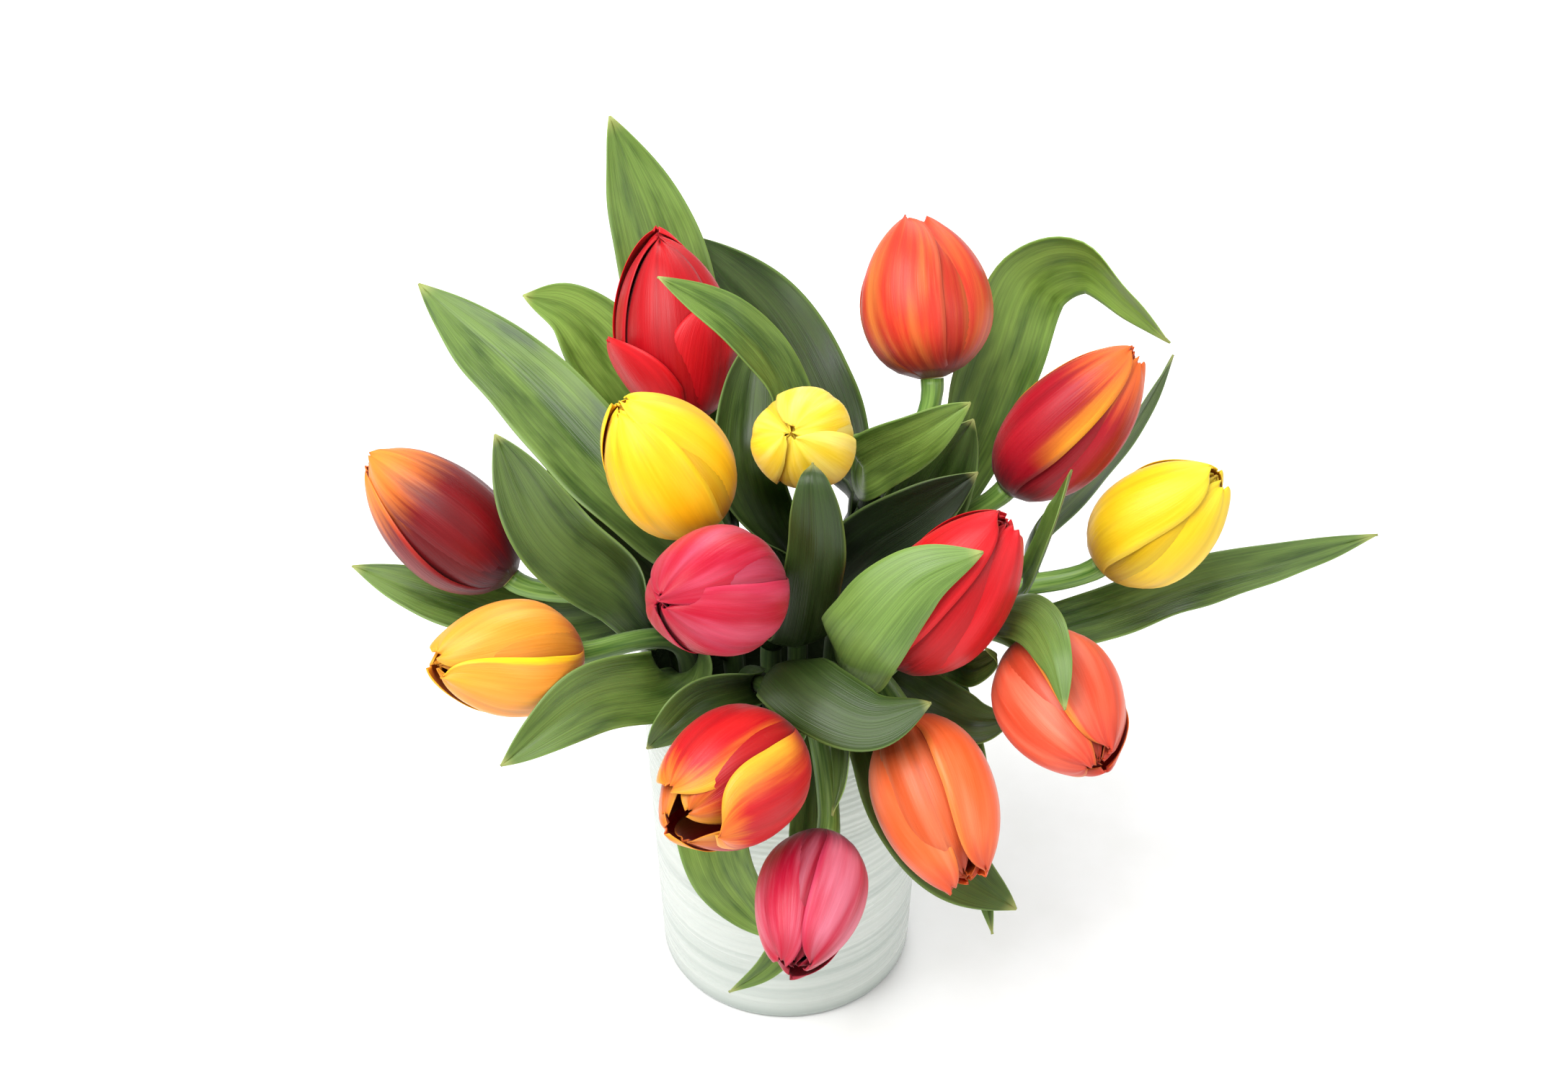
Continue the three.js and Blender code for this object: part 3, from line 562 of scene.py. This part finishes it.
def glass_material():
    """Milky glass with faint bands round it, and painted shade at its foot and where it turns away."""
    m = Material("milky_glass")
    place = m.node("ShaderNodeTexCoord").outputs["Object"]
    x, y, z = at = m.node("ShaderNodeSeparateXYZ", {0: place}).outputs
    cloud = m.noise(at, (4.0, 4.0, 60.0), 2.0)
    rings = m.noise(at, (0.8, 0.8, 420.0), 2.0)
    bands = m.noise(at, (0.8, 0.8, 150.0), 1.0)
    paint = m.blend(m.ramp(cloud, 0.3, 0.7), colour(GLASS["cloud"]), colour(GLASS["clear"]))
    paint = m.blend(m.ramp(z, 0.0, 0.15, 0.0, 0.3), paint, colour(GLASS["leafy"]))
    banded = m.math("MULTIPLY", m.ramp(bands, 0.46, 0.62, 0.0, 0.4), m.ramp(z, 0.03, 0.12, 1.0, 0.4))
    paint = m.blend(banded, paint, colour(GLASS["bands"]))
    # Painted shade at the foot.
    paint = m.blend(m.ramp(z, 0.0, 0.009, 0.75, 0.0), paint, colour(GLASS["foot"]))
    # Painted shade where the wall turns away from view, not at the vase's rim.
    facing = m.node("ShaderNodeLayerWeight", {"Blend": 0.35}).outputs["Facing"]
    paint = m.blend(m.ramp(facing, 0.55, 0.95, 0.0, 0.5), paint, colour(GLASS["rim"]))

    # The inside of the wall and the floor are in the shade of the stems.
    radius = m.math("SQRT", m.math("ADD", m.math("MULTIPLY", x, x), m.math("MULTIPLY", y, y)))
    wall = m.math("ADD", m.math("MULTIPLY", z, WALL_SLOPE), (HEEL_RADIUS - WALL + 0.8) * MM)
    within = m.math("MULTIPLY", m.math("LESS_THAN", radius, wall), m.math("GREATER_THAN", z, 0.006))
    paint = m.blend(within, paint, colour(GLASS["inside"]))
    m.shade(Base_Color=paint, Roughness=m.ramp(cloud, 0.3, 0.7, 0.2, 0.32), Subsurface_Weight=0.25,
            Subsurface_Scale=0.008, Subsurface_Radius=(1.0, 1.0, 0.95), Coat_Weight=0.35,
            Coat_Roughness=0.12, IOR=1.5)
    m.bump(rings, 0.25, 0.0006)
    return m.material


def floor_material():
    m = Material("pale_floor")
    place = m.node("ShaderNodeTexCoord").outputs["Object"]
    speck = m.node("ShaderNodeTexNoise", {"Vector": place, "Scale": 30.0, "Detail": 3.0}).outputs[0]
    paint = m.blend(m.ramp(speck, 0.3, 0.7), colour("f4f4f3"), colour("f8f8f8"))
    m.shade(Base_Color=paint, Roughness=0.7)
    return m.material


# ---- The vase ----

RING_PITCH, RING_HEIGHT, RING_STEPS = 3.1, 0.32, 290
FOOT_HOLLOW = 1.2  # how far the middle of the foot stands clear of the table
VASE_SIDES = 160


def make_vase():
    """The vase, turned from its outline: shallow rings all the way up its outside, and a rounded rim."""
    def wall(z):
        return HEEL_RADIUS + WALL_SLOPE * (z - HEEL_HEIGHT)

    outline = [(0.0, FOOT_HOLLOW), (FOOT_RADIUS - 8, FOOT_HOLLOW), (FOOT_RADIUS - 4, 0.4),
               (FOOT_RADIUS - 2, 0.0)]
    outline += [(FOOT_RADIUS * (1 - t) ** 2 + 2 * HEEL_RADIUS * t * (1 - t) + HEEL_RADIUS * t * t,
                 HEEL_HEIGHT * t * t) for t in np.linspace(0, 1, 7)]
    top = VASE_HEIGHT - WALL / 2
    for z in np.linspace(HEEL_HEIGHT, top, RING_STEPS)[1:-1]:
        phase = z / RING_PITCH + 0.22 * math.sin(z * 0.21) + 0.13 * math.sin(z * 0.53)
        fade = ease((z - HEEL_HEIGHT) / 4) * ease((top - z) / 3)
        dip = 0.5 * math.cos(2 * math.pi * phase) - 0.5
        outline.append((wall(z) + fade * RING_HEIGHT * dip, z))
    half = WALL / 2
    outline += [(MOUTH_RADIUS - half + half * math.cos(a), top + half * math.sin(a))
                for a in np.linspace(0, math.pi, 13)]
    outline += [(wall(z) - WALL, z) for z in np.linspace(top, FLOOR + FLOOR_FILLET, 12)[1:]]
    corner = wall(FLOOR) - WALL
    outline += [(corner - FLOOR_FILLET * t * t, FLOOR + FLOOR_FILLET * (1 - t) ** 2)
                for t in np.linspace(0, 1, 7)[1:]]
    outline += [(r, FLOOR) for r in (24.0, 12.0)] + [(0.0, FLOOR)]

    turns = [2 * math.pi * k / VASE_SIDES for k in range(VASE_SIDES)]
    points, faces = [], []
    rings = outline[1:-1]
    for r, z in rings:
        points += [(r * math.cos(turn), r * math.sin(turn), z) for turn in turns]
    last = (len(rings) - 1) * VASE_SIDES
    for i in range(0, last, VASE_SIDES):
        faces += [(i + k, i + (k + 1) % VASE_SIDES, i + VASE_SIDES + (k + 1) % VASE_SIDES,
                   i + VASE_SIDES + k) for k in range(VASE_SIDES)]
    bottom, well = len(points), len(points) + 1
    points += [(0.0, 0.0, outline[0][1]), (0.0, 0.0, outline[-1][1])]
    faces += [(bottom, (k + 1) % VASE_SIDES, k) for k in range(VASE_SIDES)]
    faces += [(well, last + k, last + (k + 1) % VASE_SIDES) for k in range(VASE_SIDES)]
    shape = Shape()
    blank = np.zeros((len(points), 3))
    shape.add(np.array(points), faces, blank, blank)
    vase = shape.piece("vase_glass", "vase", "glass", glass_material())
    vase.data.polygons.foreach_set("use_smooth", [True] * len(faces))
    return vase


# ---- Leaves ----

LEAF_ROWS, LEAF_COLUMNS = 64, 17
TURN_AT = 0.544  # how far along its length a blade has turned to face its own way
BLADE_WIDEST = 0.45  # where along its length
BLADE_TIP = 0.02  # its tip's width, as a share of its widest
WAVE_HEIGHT = 0.55  # of the margins
GROOVE_DEPTH, GROOVE_WIDTH = 0.45, 0.13  # down the midrib; the width is a share of half the blade


def blade_shape(s, base, fullness=2.8):
    """A blade's width at s of its length, as a share of its widest."""
    rising = mix(base, 1.0, np.sin(np.clip(s / BLADE_WIDEST, 0, 1) * math.pi / 2))
    beyond = np.clip((s - BLADE_WIDEST) / (1 - BLADE_WIDEST), 0, 1)
    falling = mix(BLADE_TIP, 1.0, 1 - beyond ** fullness)
    return np.where(s < BLADE_WIDEST, rising, falling)


def make_leaf(name, leaf, line, straight, seed):
    """A blade that clasps its stem and grows out along its midrib, grooved and with waved margins."""
    _, node, midrib, width, faces, cup, tone_and_shade, *fullness = leaf
    clasp_radius = STEM_RADIUS + JOIN_GAP + LEAF_THICKNESS / 2 + CLASP_CLEARANCE
    clasp_width = clasp_radius * radians(CLASP_ANGLE)
    start = straight + node
    first = np.array(midrib[0], float)
    spots = [line.point(d) for d in np.linspace(0, line.length, 61)]
    side = first - min(spots, key=lambda spot: np.linalg.norm(first - spot))
    sheath_points = []
    for share in (0, 0.5, 1):
        distance = min(line.length, start + share * SHEATH_LENGTH)
        side = flattened(side, line.along(distance))
        sheath_points.append(line.point(distance) + side * clasp_radius)
    curve = smooth_line(sheath_points + midrib)
    length = curve.length
    sheath = SHEATH_LENGTH / length

    face = -side
    frames = []
    for s in np.linspace(0, 1, LEAF_ROWS):
        along = curve.along(s * length)
        face = flattened(face, along)
        frames.append((s, along, face, curve.point(s * length)))
    _, along, facing, _ = next(f for f in frames if f[0] >= TURN_AT)
    wanted = flattened(direction(*faces), along)
    turn = math.atan2(np.dot(along, np.cross(facing, wanted)), np.dot(facing, wanted))

    share = np.linspace(-1, 1, LEAF_COLUMNS)
    rng = np.random.default_rng(seed)
    waves = rng.uniform(0, 2 * math.pi, 4)
    outer, thickness = [], []
    for s, along, face, centre in frames:
        free = ease((s - sheath) / (0.5 - sheath))
        opened = ease((s * length - SHEATH_LENGTH) / OPENING_LENGTH)
        inward = turned(face, along, turn * free)
        across = np.cross(inward, along)
        wide = width * float(blade_shape(s, clasp_width / width, *fullness))
        curl = radians(mix(CLASP_ANGLE, cup, opened) * (1 - 0.5 * s * s))
        bend = wide / curl
        angle = share * curl / 2
        half = (LEAF_THICKNESS / 2) * (1 - 0.5 * share ** 2)
        at = s * length
        left = np.sin(at / 7.5 + waves[0]) + 0.6 * np.sin(at / 4.1 + waves[1])
        right = np.sin(at / 8.3 + waves[2]) + 0.6 * np.sin(at / 4.7 + waves[3])
        margin = np.where(share < 0, left, right)
        wave = WAVE_HEIGHT * opened * margin * share ** 2 * min(1.0, wide / 16)
        groove = GROOVE_DEPTH * opened * np.exp(-(share / GROOVE_WIDTH) ** 2)
        radius = bend + half * 0.8 + wave + groove
        hub = centre + inward * bend
        outer.append(hub + np.sin(angle)[:, None] * across * radius[:, None]
                     - np.cos(angle)[:, None] * inward * radius[:, None])
        thickness.append(half * 1.6 * (1 - 0.45 * s))
    s = np.linspace(0, 1, LEAF_ROWS)[:, None] * np.ones(LEAF_COLUMNS)
    shape = Shape()
    shape.shell(np.array(outer), np.array(thickness), np.ones((LEAF_ROWS, 1)) * share, s, seed * 0.37,
                v_scale=length / 100)
    shape.side[0][:, 1] = np.tile(s.ravel(), 2)
    return shape.piece(f"{name}_blade", name, "leaf", leaf_material(name, tone_and_shade))


# ---- Blooms ----

PETAL_ROWS, PETAL_COLUMNS = 30, 19
TOWARDS_FRONT = np.array([0.0, -0.773, 0.635])
BELLY = 0.42  # where along its length a bloom is widest
PETAL_WIDEST = 0.45
PETAL_SPREAD = 64  # half the width of a usual petal, in degrees
PETAL_THICKNESS = 0.95
USUAL_GAPE = 0.3
INNER_STEP = 1.5  # how far the inner petals lie within the outer ones
TUCK = 1.2  # how far an edge lies over or under its neighbour
CREASE_DEPTH, CREASE_WIDTH = 0.6, 0.12  # down the middle of a petal
PISTIL_RADII = [3.9, 4.2, 3.4, 2.7, 2.5, 2.5, 2.6, 2.6, 2.5, 2.9, 3.4, 2.0]
# (layer, heading, reach, share of the usual spread, flare) of each petal
SIX_ALIKE = [(0, 0, 1.0, 1.0, 0), (0, 120, 0.98, 1.0, 0), (0, -120, 0.97, 1.0, 0),
             (1, 60, 0.96, 0.9, 0), (1, 180, 0.96, 0.9, 0), (1, -60, 0.95, 0.9, 0)]


def bloom_profile(t, base, opening):
    """A bloom's radius at t of its length, as a share of its widest."""
    below = 1 - (1 - base ** 2) * (np.clip(BELLY - t, 0, 1) / BELLY) ** 2
    above = 1 - (1 - opening ** 1.5) * (np.clip(t - BELLY, 0, 1) / (1 - BELLY)) ** 2.0
    return np.where(t < BELLY, np.sqrt(below), above ** (1 / 1.5))


def petal_outline(v):
    """Half the width of a petal at v of its length, as a share of its widest."""
    rising = 0.5 + 0.5 * np.sin(np.clip(v / PETAL_WIDEST, 0, 1) * math.pi / 2)
    x = np.clip((v - PETAL_WIDEST) / (1 - PETAL_WIDEST), 0, 1)
    return np.maximum(np.where(v < PETAL_WIDEST, rising, (1 - x ** 2.5) ** 0.62), 0.05)


def make_bloom(tulip, seed):
    """Petals as thin closed sheets round the bloom's axis, the outer ones first, and a pistil."""
    rng = np.random.default_rng(seed)
    length, radius, opening = tulip["length"], tulip["radius"], tulip["opening"]
    axis = direction(tulip["tilt"], tulip["faces"])
    front = flattened(TOWARDS_FRONT, axis)
    beside = np.cross(axis, front)
    origin = np.array(tulip["bloom"], float) + axis * JOIN_GAP
    base = (STEM_RADIUS + 1) / radius
    shut = opening * tulip.get("gape", USUAL_GAPE)
    petals = tulip.get("petals") or [(layer, at, reach, share * PETAL_SPREAD, flare)
                                     for layer, at, reach, share, flare in SIX_ALIKE]
    tuck = tulip.get("tuck", 1.0)
    shape = Shape()
    w = np.linspace(0, 1, PETAL_ROWS)[:, None]
    v = (1 - (1 - w) ** 1.5) * np.ones(PETAL_COLUMNS)
    u = np.linspace(-1, 1, PETAL_COLUMNS) * np.ones((PETAL_ROWS, 1))
    for layer, at, reach, spread, flare in petals:
        t = v * reach
        closing = reach > 0.85 and not tulip.get("open")
        profile = radius * bloom_profile(v if closing else t, base, shut * (1 - 0.6 * layer))
        half = radians(spread) * petal_outline(v) * radius / profile
        half = np.minimum(half, radians(spread) * 1.15)
        heading = radians(at + tulip.get("turn", 0))
        waves = rng.uniform(0, 2 * math.pi, 4)
        angle = heading + u * half + 0.05 * np.sin(4 * v + waves[0])
        rise = ease(v / 0.3)
        # The bloom's three shoulders, the petal's place among the others, its crease, its curl
        # across and at its tip, and its uneven edges.
        r = profile * (1 + 0.06 * ease(t) * np.cos(3 * (angle - heading)))
        r = r - layer * INNER_STEP * rise
        r = r + tuck * TUCK * u * rise
        r = r - CREASE_DEPTH * np.exp(-(u / CREASE_WIDTH) ** 2) * rise * ease((1 - v) / 0.2)
        r = r + (0.55 - 1.1 * u ** 2) * rise + flare * ease((v - 0.3) / 0.7)
        r = r + 0.35 * np.abs(u) ** 3 * np.sin(9 * v + waves[1]) * rise
        r = np.maximum(r, 0.2 + 0.25 * (1 - layer))
        torn = 0.8 * np.sin(2.5 * u + waves[2]) + 0.6 * np.sin(8 * u + waves[3])
        z = t * length + torn * v ** 6
        points = (origin + z[..., None] * axis
                  + (r * np.cos(angle))[..., None] * front + (r * np.sin(angle))[..., None] * beside)
        thickness = PETAL_THICKNESS * (1 - 0.55 * u ** 2) * (1 - 0.45 * v)
        shape.shell(points, thickness, u, v, seed + 3.1 * len(shape.vertices), layer)
    pistil = Line([origin + axis * h for h in np.linspace(-0.2, length * 0.42, 8)])
    distances = np.linspace(0, pistil.length, len(PISTIL_RADII))
    shape.tube(pistil, PISTIL_RADII, 12, distances, seed, 2.0)
    return shape.piece(f"{tulip['name']}_petals", f"{tulip['name']}_bloom", tulip["slot"],
                       petal_material(tulip["name"]))


def make_stem(tulip, line, material, seed):
    """A round stalk, a little uneven, that swells to its bloom."""
    distances = np.concatenate([np.linspace(0, line.length - 4, 60), [line.length - 2, line.length]])
    swell = 1 + 0.02 * np.sin(distances / 9 + seed) + 0.12 * ease((distances - line.length + 9) / 9)
    shape = Shape()
    shape.tube(line, STEM_RADIUS * swell, 20, distances, seed)
    return shape.piece(f"{tulip['name']}_stalk", f"{tulip['name']}_stem", "stem", material)


# ---- The object ----

make_vase()
skin = stem_material()
for number, tulip in enumerate(TULIPS):
    line, straight = stem_line(tulip)
    make_stem(tulip, line, skin, number)
    make_bloom(tulip, 100 + number)
    own = [leaf for leaf in LEAVES if leaf[0] == tulip["name"]]
    for index, leaf in enumerate(own):
        make_leaf(f"{tulip['name']}_leaf_{index + 1}", leaf, line, straight, 10 * number + index)


# ---- The floor, lights and camera ----

def make_floor():
    """A wide pale floor that the vase stands on."""
    mesh = bpy.data.meshes.new("floor")
    reach = 6.0
    mesh.from_pydata([(-reach, -reach, 0), (reach, -reach, 0), (reach, reach, 0), (-reach, reach, 0)],
                     [], [(0, 1, 2, 3)])
    mesh.materials.append(floor_material())
    floor = bpy.data.objects.new("floor", mesh)
    bpy.context.scene.collection.objects.link(floor)


def make_light(name, place, target, size, power):
    """A round area light at place, in metres, turned towards target."""
    light = bpy.data.lights.new(name, "AREA")
    light.shape = "DISK"
    light.size = size
    light.energy = power
    made = bpy.data.objects.new(name, light)
    made.location = place
    aim = np.array(target) - np.array(place)
    made.rotation_euler = (math.acos(-unit(aim)[2]), 0, math.atan2(aim[1], aim[0]) - math.pi / 2)
    bpy.context.scene.collection.objects.link(made)


def make_camera():
    """The camera, in front of the vase and above it, looking down at 39.4 degrees."""
    camera = bpy.data.cameras.new("camera")
    camera.sensor_width = 36.0
    camera.lens = 36.0 * 4000 / 2175
    camera.clip_start = 0.02
    made = bpy.data.objects.new("camera", camera)
    made.location = (-0.000783, -0.742694, 0.797339)
    made.rotation_euler = (radians(50.6), 0, 0)
    bpy.context.scene.collection.objects.link(made)
    bpy.context.scene.camera = made


def make_world():
    world = bpy.data.worlds.new("studio")
    world.use_nodes = True
    background = world.node_tree.nodes["Background"]
    background.inputs["Color"].default_value = (1.0, 1.0, 1.0, 1.0)
    background.inputs["Strength"].default_value = 0.48
    bpy.context.scene.world = world


make_floor()
make_light("key", (-0.5, -0.4, 1.3), (0, 0, 0.15), 1.3, 31)
make_light("fill", (0.9, -0.7, 0.8), (0, 0, 0.15), 1.0, 6)
make_light("back", (0.2, 0.9, 0.9), (0, 0, 0.2), 0.8, 6)
make_camera()
make_world()
bpy.context.scene.view_settings.view_transform = "Standard"
